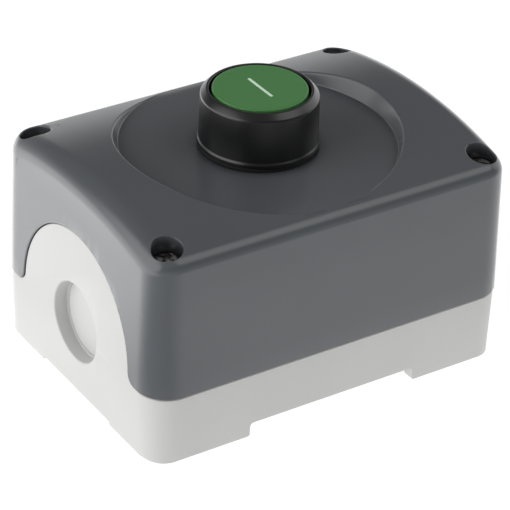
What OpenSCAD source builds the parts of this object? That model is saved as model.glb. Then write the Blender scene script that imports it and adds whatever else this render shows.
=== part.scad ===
// Surface-mounted control station with one flush push button.
// The origin is the centre of the mounting face. X runs along the case, Z along the button's travel.

/* [Case] */
// Length of the cover
case_l = 101; // [100:0.5:104]
// Width of the cover
case_w = 74; // [73.8:0.2:76]
// Radius of the upright corners
corner_r = 7.8; // [7.6:0.1:8]
// Height of the seam between the base and the cover
seam_z = 18; // [17.8:0.1:18.2]
// Height of the crown of the arched top
crown_z = 59.4; // [59.2:0.1:60]
// Radius of the arched top, seen from the end
crown_r = 125; // [120:1:130]
// Rounding of the upper edges at the ends
end_edge_r = 5.4; // [5:0.1:5.8]
// Rounding of the upper edges along the sides
side_edge_r = 3.8; // [3.4:0.1:4.2]
// Angle by which the sides lean in above the seam
draft = 1.4; // [1.2:0.1:1.4]
// Wall thickness of the cover
cover_wall = 3.2; // [3:0.1:3.4]
// Wall thickness of the base
base_wall = 3.4; // [3.2:0.1:3.6]
// How far the base stands in from the cover
base_inset = 0.3; // [0.2:0.1:0.4]

/* [Arched ends] */
// Radius of the base's tongue that rises into each end of the cover
arch_r = 24.8; // [24.4:0.1:25.2]
// Height of the centre of that tongue
arch_z = 19.5; // [19.3:0.1:19.7]
// Fillet where the tongue runs out into the seam
foot_r = 3.3; // [3:0.1:3.6]
// Radius of the knock-out for a conduit gland
entry_r = 10.1; // [9.8:0.1:10.3]
// Height of the knock-out's axis
entry_z = 20.2; // [20:0.1:20.5]
// Depth of the knock-out's recess
entry_depth = 3.6; // [3.4:0.1:3.8]

/* [Dial recess] */
// Radius of the flat floor round the button
recess_r = 33.8; // [33:0.1:34]
// Height of that floor
recess_z = 55.3; // [55:0.1:55.6]
// Radius of the hole through the panel
panel_hole_r = 11.15; // [11.1:0.01:11.3]

/* [Mounting] */
// Spacing of the wall fixing holes along the case
fix_x = 66; // [64:1:68]
// Spacing of the wall fixing holes across the case
fix_y = 44; // [40:1:46]
// Radius of a wall fixing hole
fix_r = 2.25; // [2:0.05:2.6]

/* [Button] */
// Radius of the button's face
cap_r = 11.5; // [11.3:0.05:11.8]
// Height of the button's face above the mounting face
cap_z = 70.3; // [70:0.05:70.5]
// Travel of the button
travel = 4; // [3:0.1:4]
// Length of the start bar on the button's face
bar_l = 10.3; // [6:0.1:14]
// Width of the start bar
bar_w = 0.8; // [0.6:0.1:2]

/* [Hidden] */

// Small gap that keeps touching surfaces apart
gap = 0.1;
// Overlap that joins two volumes of one piece
bite = 0.5;
// Length that reaches past any surface being cut
past = 20;
// Segments in the quarter of a small rounding
corner_steps = 6;
$fn = 96;

// Seam between base and cover, with the fillet at each foot of the tongue
foot_y = sqrt(pow(arch_r + foot_r, 2) - pow(seam_z + foot_r - arch_z, 2));
foot_a = asin((seam_z + foot_r - arch_z) / (arch_r + foot_r));
arch_top = arch_z + arch_r;

// Corner screws and the pillars that take them
screw_x = 43.7;
screw_y = 30.5;
pillar_r = 5.6;
tower_r = 6.2;
screw_hole_r = 3.65;
screw_seat_z = 49.4;
screw_head_r = 3.4;
screw_head_h = 3.4;
screw_neck_r = 1.7;
screw_thread_r = 1.95;
screw_tip_z = 9.4;
screw_clear_r = 2.3;
insert_r = 3.2;
insert_bore_r = 2.05;
insert_z = 8.6;
insert_waist_r = 2.85;
insert_waist_z = 13.3;
tip_hole_r = 2.2;
retainer_r = 3.3;
retainer_h = 1.6;
retainer_pocket_r = 3.5;
retainer_pocket_h = 2;

// Underside of the base
floor_z = 4.2;
floor_h = 2.6;
inside_z = floor_z + floor_h;
notch_l = 47;
notch_h = 3.9;
notch_r = 1.2;
end_notch_l = 32;
end_notch_h = 1.2;
end_notch_r = 0.8;
fix_boss_r = 5;
rib_x = 27.5;
rib_w = 2;
rib_boss_r = 3.4;
pilot_r = 1.35;
pilot_z = 2;

// Knock-out: the web left behind it, the wall round it and the scored ring it breaks along
entry_web = 1.4;
entry_wall = 2.4;
entry_score_out = entry_r - 0.9;
entry_score_in = entry_r - 1.3;
entry_score_h = 0.3;

// Cover's locating lip and the gasket's groove, as distances in from the cover's outside
lip_out = base_inset + base_wall + 0.2;
lip_in = lip_out + 1.2;
lip_h = 2;
lip_root_out = cover_wall - 0.2;
lip_root_h = 0.3;
groove_out = base_inset + 1.2;
groove_in = groove_out + 1.4;
groove_h = 1.5;
gasket_clear = 0.05;

// Top of the cover
panel_h = 3;
panel_boss_r = recess_r + 3.5;
panel_under_z = recess_z - panel_h;
recess_flare = 0.29;
axis_z = crown_z - crown_r;
shoulder_z = axis_z + sqrt(pow(crown_r - end_edge_r, 2) - pow(case_w / 2 - corner_r, 2));
shoulder_in = (shoulder_z - seam_z) * tan(draft);
nib_w = 3;
nib_r = 11.95;
nib_clear = 0.1;

// Actuator, from the panel upwards
panel_seal_h = 0.9;
panel_seal_r = 14.5;
panel_seal_bore_r = 11.3;
collar_z = recess_z + panel_seal_h;
collar_r = 11;
collar_end_z = 37;
body_r = 13.2;
body_top_z = 66.5;
body_bore_r = 12;
body_floor_z = 57.6;
body_floor_h = 2.4;
body_neck_r = 9.5;
guide_r = 6.5;
guide_z = 46;
stem_r = 4;
stem_clear = 0.05;
stem_end_z = 33;
clip_z = guide_z - 0.85;
clip_groove_h = 0.8;
clip_groove_r = stem_r - 0.6;
clip_r = 6.2;
clip_h = 0.7;
clip_split = 2.8;
ring_foot_r = 14.8;
ring_side_r = 14.5;
ring_top_r = 14.2;
ring_shoulder_z = 68.87;
ring_bore_r = 12.15;
ring_clear = 0.05;
nut_h = 5;
nut_r = 14.6;
nut_notches = 12;
nut_notch_r = 1.6;
cap_skirt_z = body_floor_z + travel + 0.4;
cap_h = 2;
cap_wall = 1.3;
cap_chamfer = 0.3;
bar_depth = 0.35;
seal_cord_r = 0.8;
head_h = 1.9;
head_r = cap_r - cap_wall - 0.05;
head_z = cap_z - cap_h - head_h;
button_spring_r = 7.4;
button_wire_r = 0.4;

// Contact block
carrier_h = 2;
carrier_l = 63;
carrier_w = 17;
carrier_corner_r = 3;
carrier_hole_r = 1.7;
carrier_screw_r = 1.3;
carrier_screw_z = 3;
carrier_head_r = 2.7;
carrier_head_h = 1.8;
block_z = inside_z + carrier_h;
block_l = 44;
block_w = 11;
block_top_z = 28.3;
block_wall = 1.2;
shaft_l = 23;
plate_h = 1.2;
plate_clear = 0.05;
hook_x = block_l / 2 + 0.15;
hook_w = 5;
hook_t = 1.4;
hook_nose = 0.7;
hook_catch_h = 4.8;
hook_top_h = 6.6;
hook_slot_h = 4.6;
plunger_top_z = stem_end_z - 0.05;
plunger_clear = 0.08;
plunger_post_r = 2.2;
frame_l = 8;
frame_w = 6;
frame_z = 14;
frame_top_z = 26.9;
window_w = 4.2;
window_z = 16;
window_top_z = 25;
bridge_l = 20;
bridge_w = 3.6;
bridge_h = 0.6;
bridge_z = window_z + 0.02;
tip_x = 8.2;
tip_r = 1.5;
tip_h = 0.6;
contact_gap = 2.45;
strip_h = 0.8;
strip_w = 5;
strip_low_z = window_z - 2 * tip_h - contact_gap - strip_h;
strip_inner_x = 6;
strip_rise_x = 13;
strip_outer_x = 20.4;
terminal_z = 21.4;
terminal_x = 17.4;
terminal_r = 1.6;
terminal_head_r = 2.9;
terminal_head_h = 1.9;
terminal_head_z = terminal_z + strip_h + 2.4;
terminal_tip_z = terminal_z - 3.6;
terminal_well_r = 3.4;
terminal_well_z = terminal_z - 5;
wire_hole_r = 1.7;
clamp_w = 4.4;
clamp_h = 0.9;
clamp_z = terminal_z + strip_h + 1.3;
cup_r = 3.1;
cup_bore_r = 2.5;
cup_z = 7.3;
cup_floor_h = 0.6;
seat_clear = 0.05;
return_spring_r = 1.9;
return_wire_r = 0.25;
contact_spring_r = 1.5;
contact_wire_r = 0.22;

function arc(cx, cy, r, a0, a1, n) =
    [for (i = [0 : n]) [cx + r * cos(a0 + (a1 - a0) * i / n), cy + r * sin(a0 + (a1 - a0) * i / n)]];

function flip(points) = [for (i = [len(points) - 1 : -1 : 0]) [-points[i].x, points[i].y]];

// Rounded rectangle with its centre at the origin
module rounded_plan(l, w, r) {
    x = l / 2 - r;
    y = w / 2 - r;
    polygon(concat(
        arc(x, y, r, 0, 90, corner_steps), arc(-x, y, r, 90, 180, corner_steps),
        arc(-x, -y, r, 180, 270, corner_steps), arc(x, -y, r, 270, 360, corner_steps)));
}

// Upright block with the case's outline, standing in from the cover's outside.
// Its sides lean in by lean over the block's height.
module case_block(inset, z0, z1, lean = 0) {
    x = case_l / 2 - corner_r;
    y = case_w / 2 - corner_r;
    r = corner_r - inset;
    rotate([90, 0, 90]) linear_extrude(2 * x, center = true)
        polygon([[-y - r, z0], [y + r, z0], [y + r - lean, z1], [lean - y - r, z1]]);
    rotate([90, 0, 0]) linear_extrude(2 * y, center = true)
        polygon([[-x - r, z0], [x + r, z0], [x + r - lean, z1], [lean - x - r, z1]]);
    for (sx = [-1, 1], sy = [-1, 1])
        translate([sx * x, sy * y, z0]) cylinder(h = z1 - z0, r1 = r, r2 = r - lean);
}

module case_ring(outer, inner, z0, z1) {
    difference() {
        case_block(outer, z0, z1);
        case_block(inner, z0 - 1, z1 + 1);
    }
}

// Profile drawn in Y and Z, drawn out along the case
module along_case(l) {
    rotate([90, 0, 90]) linear_extrude(l, center = true) children();
}

// Everything below the seam, which is moved outwards by d
module below_seam(d) {
    half = case_w;
    foot = arc(foot_y, seam_z + foot_r, foot_r - d, 270, 180 + foot_a, corner_steps);
    tongue = arc(0, arch_z, arch_r + d, foot_a, 180 - foot_a, 8 * corner_steps);
    along_case(case_l + past)
        polygon(concat(
            [[-half, -past], [half, -past], [half, seam_z + d]],
            foot, [for (i = [1 : len(tongue) - 2]) tongue[i]], flip(foot),
            [[-half, seam_z + d]]));
}

module seam_band(low, high) {
    difference() {
        below_seam(high);
        below_seam(low);
    }
}

module at_screws() {
    for (sx = [-1, 1], sy = [-1, 1])
        translate([sx * screw_x, sy * screw_y, 0]) children();
}

module both_ends() {
    for (a = [0, 180]) rotate([0, 0, a]) children();
}

// Ring from its half section, given as radius and height
module turned(points) {
    rotate_extrude() polygon(points);
}

module tube(outer, inner, z0, z1) {
    difference() {
        translate([0, 0, z0]) cylinder(h = z1 - z0, r = outer);
        translate([0, 0, z0 - 1]) cylinder(h = z1 - z0 + 2, r = inner);
    }
}

module block(l, w, z0, z1) {
    translate([-l / 2, -w / 2, z0]) cube([l, w, z1 - z0]);
}

// Compression spring with one closed turn at each end, standing between z0 and z1
module coil_spring(r, wire_r, turns, z0, z1) {
    sides = 6;
    steps = 18;
    closed = 2.15 * wire_r;
    rise = z1 - z0 - 2 * wire_r - 2 * closed;
    n = round(turns * steps);
    function height(t) =
        z0 + wire_r + closed * min(t, 1) + closed * max(0, t - turns + 1)
        + rise * min(1, max(0, (t - 1) / (turns - 2)));
    function ring(i) = [for (k = [0 : sides - 1])
        let (a = 360 * i / steps, b = 360 * k / sides, d = r + wire_r * cos(b))
        [d * cos(a), d * sin(a), height(i / steps) + wire_r * sin(b)]];
    points = [for (i = [0 : n]) each ring(i)];
    skin = [for (i = [0 : n - 1], k = [0 : sides - 1])
        let (m = (k + 1) % sides, a = i * sides)
        [a + k, a + m, a + sides + m, a + sides + k]];
    first = [for (k = [sides - 1 : -1 : 0]) k];
    last = [for (k = [0 : sides - 1]) n * sides + k];
    polyhedron(points, concat(skin, [first, last]));
}

// ---- Base ----

// Conduit knock-out: a blind recess in the end wall with a thin web behind it
module entry_cut() {
    translate([case_l / 2 - base_inset - entry_depth, 0, entry_z])
        rotate([0, 90, 0]) cylinder(h = past, r = entry_r);
    translate([case_l / 2 - base_inset - entry_depth - entry_score_h, 0, entry_z])
        rotate([0, 90, 0]) tube(entry_score_out, entry_score_in, 0, past);
}

module entry_boss() {
    translate([case_l / 2 - base_inset - entry_depth - entry_web, 0, entry_z])
        rotate([0, 90, 0]) cylinder(h = entry_depth + entry_web - bite, r = entry_r + entry_wall);
}

// Opening under a wall, with rounded upper corners
module notch_cut(l, h, r) {
    linear_extrude(3 * base_wall, center = true)
        polygon(concat(
            [[-l / 2, -1], [l / 2, -1]],
            arc(l / 2 - r, h - r, r, 0, 90, corner_steps),
            arc(r - l / 2, h - r, r, 90, 180, corner_steps)));
}

module base_solid() {
    rise = arch_top + 1 - seam_z;
    intersection() {
        difference() {
            union() {
                case_block(base_inset, 0, seam_z);
                case_block(base_inset, seam_z, seam_z + rise, rise * tan(draft));
            }
            case_block(base_inset + base_wall, -1, arch_top + 2);
        }
        below_seam(-gap);
    }
    case_block(base_inset + 1, floor_z, inside_z);
    at_screws() cylinder(h = seam_z - gap, r = pillar_r);
    for (sx = [-1, 1], sy = [-1, 1])
        translate([sx * fix_x / 2, sy * fix_y / 2, 0]) cylinder(h = floor_z + bite, r = fix_boss_r);
    for (sx = [-1, 1])
        translate([sx * rib_x, 0, 0]) {
            block(rib_w, case_w - 2 * base_inset - base_wall, 0, floor_z + bite);
            cylinder(h = floor_z + bite, r = rib_boss_r);
        }
    both_ends() entry_boss();
}

module enclosure_base() {
    color("#e2e2e0")
    difference() {
        base_solid();
        difference() {
            case_ring(groove_out, groove_in, 0, arch_top + past);
            below_seam(-groove_h);
        }
        at_screws() {
            translate([0, 0, insert_z]) cylinder(h = past, r = insert_r);
            translate([0, 0, inside_z]) cylinder(h = past, r = tip_hole_r);
        }
        for (sx = [-1, 1], sy = [-1, 1])
            translate([sx * fix_x / 2, sy * fix_y / 2, -1]) cylinder(h = past, r = fix_r);
        for (sx = [-1, 1])
            translate([sx * rib_x, 0, pilot_z]) cylinder(h = past, r = pilot_r);
        both_ends() entry_cut();
        for (sy = [-1, 1])
            translate([0, sy * case_w / 2, 0]) rotate([90, 0, 0])
                notch_cut(notch_l, notch_h, notch_r);
        for (sx = [-1, 1])
            translate([sx * case_l / 2, 0, 0]) rotate([90, 0, 90])
                notch_cut(end_notch_l, end_notch_h, end_notch_r);
    }
}

module threaded_inserts() {
    color("#c9a352")
    at_screws()
        turned([[insert_bore_r, insert_z], [insert_r, insert_z], [insert_r, insert_waist_z - 0.9],
                [insert_waist_r, insert_waist_z - 0.5], [insert_waist_r, insert_waist_z + 0.5],
                [insert_r, insert_waist_z + 0.9], [insert_r, seam_z - gap],
                [insert_bore_r, seam_z - gap]]);
}

module cover_gasket() {
    color("#1f2022")
    intersection() {
        case_ring(groove_out + gasket_clear, groove_in - gasket_clear, 0, arch_top + past);
        seam_band(gasket_clear - groove_h, gap - gasket_clear);
    }
}

// ---- Contact block, fixed to the base ----

// Snap hook on the carrier, with a nose that catches in the housing's end wall
module carrier_hook() {
    translate([hook_x, hook_w / 2, block_z]) rotate([90, 0, 0])
        linear_extrude(hook_w)
            polygon([[0, -bite], [hook_t, -bite], [hook_t, hook_top_h - 1.2], [0, hook_top_h],
                     [-hook_nose, hook_catch_h + 0.8], [-hook_nose, hook_catch_h + 0.2],
                     [0, hook_catch_h]]);
}

module contact_carrier() {
    color("#2b2d2f")
    difference() {
        union() {
            translate([0, 0, inside_z])
                linear_extrude(carrier_h) rounded_plan(carrier_l, carrier_w, carrier_corner_r);
            both_ends() carrier_hook();
        }
        translate([0, 0, inside_z - 1]) cylinder(h = past, r = cup_r + 0.3);
        for (sx = [-1, 1])
            translate([sx * rib_x, 0, inside_z - 1]) cylinder(h = past, r = carrier_hole_r);
    }
}

module carrier_screws() {
    color("#b9bcc0")
    for (sx = [-1, 1])
        translate([sx * rib_x, 0, 0])
            difference() {
                turned([[0, carrier_screw_z], [carrier_screw_r, carrier_screw_z],
                        [carrier_screw_r, block_z], [carrier_head_r, block_z],
                        [carrier_head_r, block_z + carrier_head_h - 0.7],
                        [carrier_head_r - 0.6, block_z + carrier_head_h],
                        [0, block_z + carrier_head_h]]);
                cross_recess(block_z + carrier_head_h, 2.8, 0.6, 0.9);
            }
}

// Cross recess for a screwdriver, sunk from z
module cross_recess(z, l, w, depth) {
    block(l, w, z - depth, z + 1);
    block(w, l, z - depth, z + 1);
}

// Bent contact strip from the contact point up to the terminal, grown by c for its slot
module strip_shape(c) {
    inner = strip_inner_x - c;
    outer = strip_outer_x + c;
    rise = strip_rise_x;
    low = strip_low_z - c;
    translate([0, strip_w / 2 + c, 0]) rotate([90, 0, 0])
        linear_extrude(strip_w + 2 * c)
            polygon([[inner, low], [rise + strip_h + c, low], [rise + strip_h + c, terminal_z - c],
                     [outer, terminal_z - c], [outer, terminal_z + strip_h + c],
                     [rise - c, terminal_z + strip_h + c], [rise - c, low + strip_h + 2 * c],
                     [inner, low + strip_h + 2 * c]]);
}

module contact_housing() {
    inner_w = block_w - 2 * block_wall;
    slot_l = strip_rise_x + strip_h - strip_inner_x;
    color("#d6d7d3")
    difference() {
        block(block_l, block_w, block_z, block_top_z);
        block(shaft_l, inner_w, block_z - 1, block_top_z - block_wall);
        block(block_l - 2 * block_wall, inner_w, block_z - 1, block_z + plate_h);
        cylinder(h = 2 * past, r = plunger_post_r + plunger_clear);
        both_ends() {
            strip_shape(gap);
            // Way in from below for the contact strip
            translate([strip_inner_x + slot_l / 2, 0, 0])
                block(slot_l + 2 * gap, strip_w + 2 * gap, block_z, strip_low_z + strip_h);
            translate([terminal_x, 0, terminal_well_z]) cylinder(h = past, r = terminal_well_r);
            translate([block_l / 2 - 2, 0, terminal_z + 1.8]) rotate([0, 90, 0])
                cylinder(h = past, r = wire_hole_r);
            // Catch for the carrier's hook
            translate([block_l / 2, 0, block_z + hook_slot_h])
                block(2 * hook_nose, hook_w + 4 * gap, 0, hook_top_h - hook_catch_h + 4 * gap);
        }
    }
}

module contact_base_plate() {
    color("#d6d7d3")
    difference() {
        union() {
            block(block_l - 2 * block_wall - 2 * plate_clear, block_w - 2 * block_wall - 2 * plate_clear,
                  block_z, block_z + plate_h - plate_clear);
            translate([0, 0, cup_z]) cylinder(h = block_z - cup_z + bite, r = cup_r);
        }
        translate([0, 0, cup_z + cup_floor_h]) cylinder(h = past, r = cup_bore_r);
    }
}

module fixed_contact() {
    color("#b87a4b")
    difference() {
        strip_shape(0);
        translate([terminal_x, 0, terminal_z - 1]) cylinder(h = 3, r = terminal_r + seat_clear);
    }
}

module fixed_contact_right() {
    fixed_contact();
}

module fixed_contact_left() {
    rotate([0, 0, 180]) fixed_contact();
}

module fixed_contact_tips() {
    color("#d9dadc")
    for (sx = [-1, 1])
        translate([sx * tip_x, 0, strip_low_z + strip_h]) cylinder(h = tip_h, r = tip_r);
}

module terminal_screws() {
    top_z = terminal_head_z + terminal_head_h;
    color("#c3c6ca")
    for (sx = [-1, 1])
        translate([sx * terminal_x, 0, 0])
            difference() {
                turned([[0, terminal_tip_z], [terminal_r, terminal_tip_z], [terminal_r, terminal_head_z],
                        [terminal_head_r, terminal_head_z], [terminal_head_r, top_z - 0.3],
                        [terminal_head_r - 0.3, top_z], [0, top_z]]);
                cross_recess(top_z, 4.2, 0.8, 1.2);
            }
}

module terminal_clamps() {
    color("#c3c6ca")
    for (sx = [-1, 1])
        translate([sx * terminal_x, 0, 0])
            difference() {
                block(clamp_w, clamp_w, clamp_z, clamp_z + clamp_h);
                translate([0, 0, clamp_z - 1]) cylinder(h = 3, r = terminal_r + gap);
            }
}

module plunger_return_spring() {
    color("#aeb2b6")
    coil_spring(return_spring_r, return_wire_r, 5.5,
                cup_z + cup_floor_h + seat_clear, frame_z - seat_clear);
}

// ---- Moving contact ----

module contact_plunger() {
    color("#3f8a46")
    difference() {
        union() {
            block(frame_l, frame_w, frame_z, frame_top_z);
            translate([0, 0, frame_top_z - bite])
                cylinder(h = plunger_top_z - frame_top_z + bite, r = plunger_post_r);
        }
        block(frame_l + 2, window_w, window_z, window_top_z);
    }
}

module contact_spring() {
    color("#aeb2b6")
    coil_spring(contact_spring_r, contact_wire_r, 6.5,
                window_z + bridge_h + seat_clear, window_top_z - seat_clear);
}

module contact_bridge() {
    color("#c08a55")
    translate([0, 0, bridge_z])
        linear_extrude(window_z + bridge_h - bridge_z) rounded_plan(bridge_l, bridge_w, 1);
}

module bridge_tips() {
    color("#d9dadc")
    for (sx = [-1, 1])
        translate([sx * tip_x, 0, bridge_z - tip_h]) cylinder(h = tip_h, r = tip_r);
}

// ---- Cover ----

// Arched block that is rounded off at both ends: the cover's top before its long sides are cut.
// The last facet of each rounding runs on outwards, so that it crosses the leaning end wall.
module arched_block() {
    half = case_l / 2 - shoulder_in;
    steps = corner_steps - 1;
    corner = arc(crown_r - end_edge_r, half - end_edge_r, end_edge_r, 0, 90 - 90 / corner_steps, steps);
    tip = corner[steps] + corner_steps * (corner[steps] - corner[steps - 1]);
    rim = concat(corner, [tip]);
    translate([0, 0, axis_z]) rotate([0, -90, 0])
        rotate_extrude($fn = 720)
            polygon(concat(
                [[0, -tip.y]],
                [for (i = [corner_steps : -1 : 0]) [rim[i].x, -rim[i].y]],
                rim, [[0, tip.y]]));
}

// What lies outside the rounded upper edge of a long side
module shoulder_cut() {
    cy = case_w / 2 - shoulder_in - side_edge_r;
    cz = axis_z + sqrt(pow(crown_r - side_edge_r, 2) - cy * cy);
    start = atan2(cz - axis_z, cy);
    round = arc(cy, cz, side_edge_r, start, 0, corner_steps);
    along_case(case_l + past)
        polygon(concat(
            round,
            [[case_w / 2 + past, cz], [case_w / 2 + past, cz + past], [round[0].x, cz + past]]));
}

module cover_outside() {
    difference() {
        intersection() {
            case_block(0, seam_z, crown_z + 1, (crown_z + 1 - seam_z) * tan(draft));
            arched_block();
        }
        for (a = [0, 180]) rotate([0, 0, a]) shoulder_cut();
    }
}

module cover_cavity() {
    difference() {
        intersection() {
            case_block(cover_wall, 0, crown_z);
            translate([0, 0, axis_z]) rotate([0, 90, 0])
                cylinder(h = case_l + past, r = crown_r - cover_wall, center = true, $fn = 720);
        }
        translate([0, 0, panel_under_z]) cylinder(h = past, r = panel_boss_r);
    }
}

module cover_lip() {
    difference() {
        union() {
            intersection() {
                case_ring(lip_out, lip_in, 0, crown_z - 8);
                seam_band(-lip_h, lip_h);
            }
            intersection() {
                case_ring(lip_root_out, lip_in, 0, crown_z - 8);
                seam_band(lip_root_h, lip_h);
            }
        }
        at_screws() cylinder(h = seam_z + gap, r = tower_r);
    }
}

module cover_body() {
    difference() {
        cover_outside();
        difference() {
            cover_cavity();
            at_screws() cylinder(h = crown_z, r = tower_r);
        }
        below_seam(gap);
    }
}

module enclosure_cover() {
    color("#4d5257")
    difference() {
        union() {
            cover_body();
            cover_lip();
        }
        translate([0, 0, recess_z])
            cylinder(h = past, r1 = recess_r, r2 = recess_r + recess_flare * past, $fn = 180);
        translate([0, 0, panel_under_z - 1]) cylinder(h = past, r = panel_hole_r);
        translate([0, nib_r / 2, 0])
            block(nib_w + 2 * nib_clear, nib_r + 2 * nib_clear, panel_under_z - 1, crown_z);
        at_screws() {
            cylinder(h = 2 * crown_z, r = screw_clear_r);
            translate([0, 0, screw_seat_z]) cylinder(h = past, r = screw_hole_r);
            cylinder(h = seam_z + gap + retainer_pocket_h, r = retainer_pocket_r);
        }
    }
}

module cover_screws() {
    color("#c3c6ca")
    at_screws()
        difference() {
            turned([[0, screw_tip_z], [screw_thread_r - 0.6, screw_tip_z],
                    [screw_thread_r, screw_tip_z + 1], [screw_thread_r, seam_z - 1.5],
                    [screw_neck_r, seam_z - 1], [screw_neck_r, screw_seat_z],
                    [screw_head_r, screw_seat_z], [screw_head_r, screw_seat_z + screw_head_h - 0.4],
                    [screw_head_r - 0.4, screw_seat_z + screw_head_h],
                    [0, screw_seat_z + screw_head_h]]);
            cross_recess(screw_seat_z + screw_head_h, 4.4, 0.9, 1.4);
        }
}

module screw_retaining_rings() {
    z = seam_z + gap + 0.3;
    color("#e8e4d8")
    at_screws() tube(retainer_r, screw_neck_r + seat_clear, z, z + retainer_h);
}

// ---- Actuator in the cover ----

module panel_gasket() {
    color("#16171a") tube(panel_seal_r, panel_seal_bore_r, recess_z, collar_z);
}

module actuator_body() {
    under_z = body_floor_z - body_floor_h;
    color("#1b1c1e")
    difference() {
        union() {
            turned([[stem_r + stem_clear, guide_z], [guide_r, guide_z], [guide_r, under_z],
                    [body_neck_r, under_z], [body_neck_r, collar_end_z], [collar_r, collar_end_z],
                    [collar_r, collar_z], [body_r, collar_z], [body_r, body_top_z],
                    [body_bore_r, body_top_z], [body_bore_r, body_floor_z],
                    [stem_r + stem_clear, body_floor_z]]);
            // Nib that stops the actuator turning in the panel
            translate([0, nib_r - 1, 0]) block(nib_w, 2, panel_under_z + bite, recess_z);
        }
        translate([0, 0, body_floor_z - 2 * seal_cord_r])
            cylinder(h = past, r = stem_r + 2 * seal_cord_r + 2 * gap);
    }
}

module lock_nut() {
    color("#26282a")
    difference() {
        tube(nut_r, collar_r + seat_clear, panel_under_z - nut_h, panel_under_z);
        for (i = [1 : nut_notches])
            rotate([0, 0, 360 * i / nut_notches])
                translate([nut_r + nut_notch_r - 1, 0, panel_under_z - nut_h - 1])
                    cylinder(h = nut_h + 2, r = nut_notch_r);
    }
}

module bezel_ring() {
    bevel = arc(ring_bore_r + 0.5, cap_z - 0.5, 0.45, 90, 180, 3);
    color("#151618")
    turned(concat(
        [[body_r + ring_clear, collar_z], [ring_foot_r - 0.2, collar_z], [ring_foot_r, collar_z + 0.3],
         [ring_foot_r, collar_z + 1.1], [ring_side_r, collar_z + 1.5],
         [ring_top_r, ring_shoulder_z], [ring_top_r - 0.35, ring_shoulder_z + 0.3],
         [ring_bore_r + 0.8, cap_z - 0.15]],
        bevel,
        [[ring_bore_r, body_top_z + 0.4], [body_r + ring_clear, body_top_z + 0.4]]));
}

module stem_seal() {
    color("#1f2022")
    translate([0, 0, body_floor_z - seal_cord_r])
        rotate_extrude() translate([stem_r + seal_cord_r + gap, 0]) circle(r = seal_cord_r, $fn = 32);
}

module button_return_spring() {
    color("#aeb2b6")
    coil_spring(button_spring_r, button_wire_r, 4.5, body_floor_z + seat_clear, head_z - seat_clear);
}

// ---- Button ----

module button_cap() {
    color("#447341")
    difference() {
        turned([[0, cap_z - cap_h], [cap_r - cap_wall, cap_z - cap_h], [cap_r - cap_wall, cap_skirt_z],
                [cap_r, cap_skirt_z], [cap_r, cap_z - cap_chamfer], [cap_r - cap_chamfer, cap_z],
                [0, cap_z]]);
        block(bar_w, bar_l, cap_z - bar_depth, cap_z + 1);
    }
}

module start_symbol() {
    color("#dfe8dc") block(bar_w, bar_l, cap_z - bar_depth, cap_z);
}

module button_plunger() {
    color("#303235")
    turned([[0, stem_end_z], [stem_r - 0.5, stem_end_z], [stem_r, stem_end_z + 0.5],
            [stem_r, clip_z], [clip_groove_r, clip_z], [clip_groove_r, clip_z + clip_groove_h],
            [stem_r, clip_z + clip_groove_h], [stem_r, head_z], [head_r, head_z],
            [head_r, cap_z - cap_h], [0, cap_z - cap_h]]);
}

// Split ring in the stem's groove, which stops the button at the top of its travel
module stem_clip() {
    z = clip_z + seat_clear;
    color("#b9bcc0")
    difference() {
        tube(clip_r, clip_groove_r + seat_clear, z, z + clip_h);
        translate([-clip_split / 2, 0, z - 1]) cube([clip_split, clip_r + 2, clip_h + 2]);
    }
}

enclosure_base();
threaded_inserts();
cover_gasket();
contact_carrier();
carrier_screws();
contact_housing();
contact_base_plate();
fixed_contact_left();
fixed_contact_right();
fixed_contact_tips();
terminal_screws();
terminal_clamps();
plunger_return_spring();
contact_plunger();
contact_spring();
contact_bridge();
bridge_tips();
enclosure_cover();
cover_screws();
screw_retaining_rings();
panel_gasket();
actuator_body();
lock_nut();
bezel_ring();
stem_seal();
button_return_spring();
button_cap();
start_symbol();
button_plunger();
stem_clip();
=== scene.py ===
"""Looks of the push-button control station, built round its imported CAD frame.

Shapes are worked out in millimetres and turned into metres when a piece is finished.
"""
import math

import bmesh
import bpy
from mathutils import Matrix, Vector
from mathutils.bvhtree import BVHTree

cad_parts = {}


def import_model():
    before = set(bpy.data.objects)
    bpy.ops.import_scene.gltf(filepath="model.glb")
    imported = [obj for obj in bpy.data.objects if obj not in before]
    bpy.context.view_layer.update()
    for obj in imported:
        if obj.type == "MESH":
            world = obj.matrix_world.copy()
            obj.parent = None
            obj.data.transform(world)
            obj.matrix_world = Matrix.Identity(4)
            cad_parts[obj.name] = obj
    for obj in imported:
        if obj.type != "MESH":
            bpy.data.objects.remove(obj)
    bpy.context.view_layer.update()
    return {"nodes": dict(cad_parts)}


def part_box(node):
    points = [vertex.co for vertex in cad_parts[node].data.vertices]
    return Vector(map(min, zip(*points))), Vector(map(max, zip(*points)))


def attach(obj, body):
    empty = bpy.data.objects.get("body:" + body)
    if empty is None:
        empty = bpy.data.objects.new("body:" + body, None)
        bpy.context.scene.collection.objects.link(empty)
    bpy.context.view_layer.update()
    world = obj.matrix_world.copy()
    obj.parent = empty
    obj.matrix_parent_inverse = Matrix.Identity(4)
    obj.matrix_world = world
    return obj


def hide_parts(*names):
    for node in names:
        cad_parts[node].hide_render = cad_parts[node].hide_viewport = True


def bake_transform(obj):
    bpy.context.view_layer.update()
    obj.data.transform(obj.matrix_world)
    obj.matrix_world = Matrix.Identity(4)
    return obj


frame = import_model()


def box_mm(node):
    """Lowest and highest corner of a CAD node, in millimetres."""
    low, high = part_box(node)
    return low * 1000, high * 1000


# ---------------------------------------------------------------- sizes, mm

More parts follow.
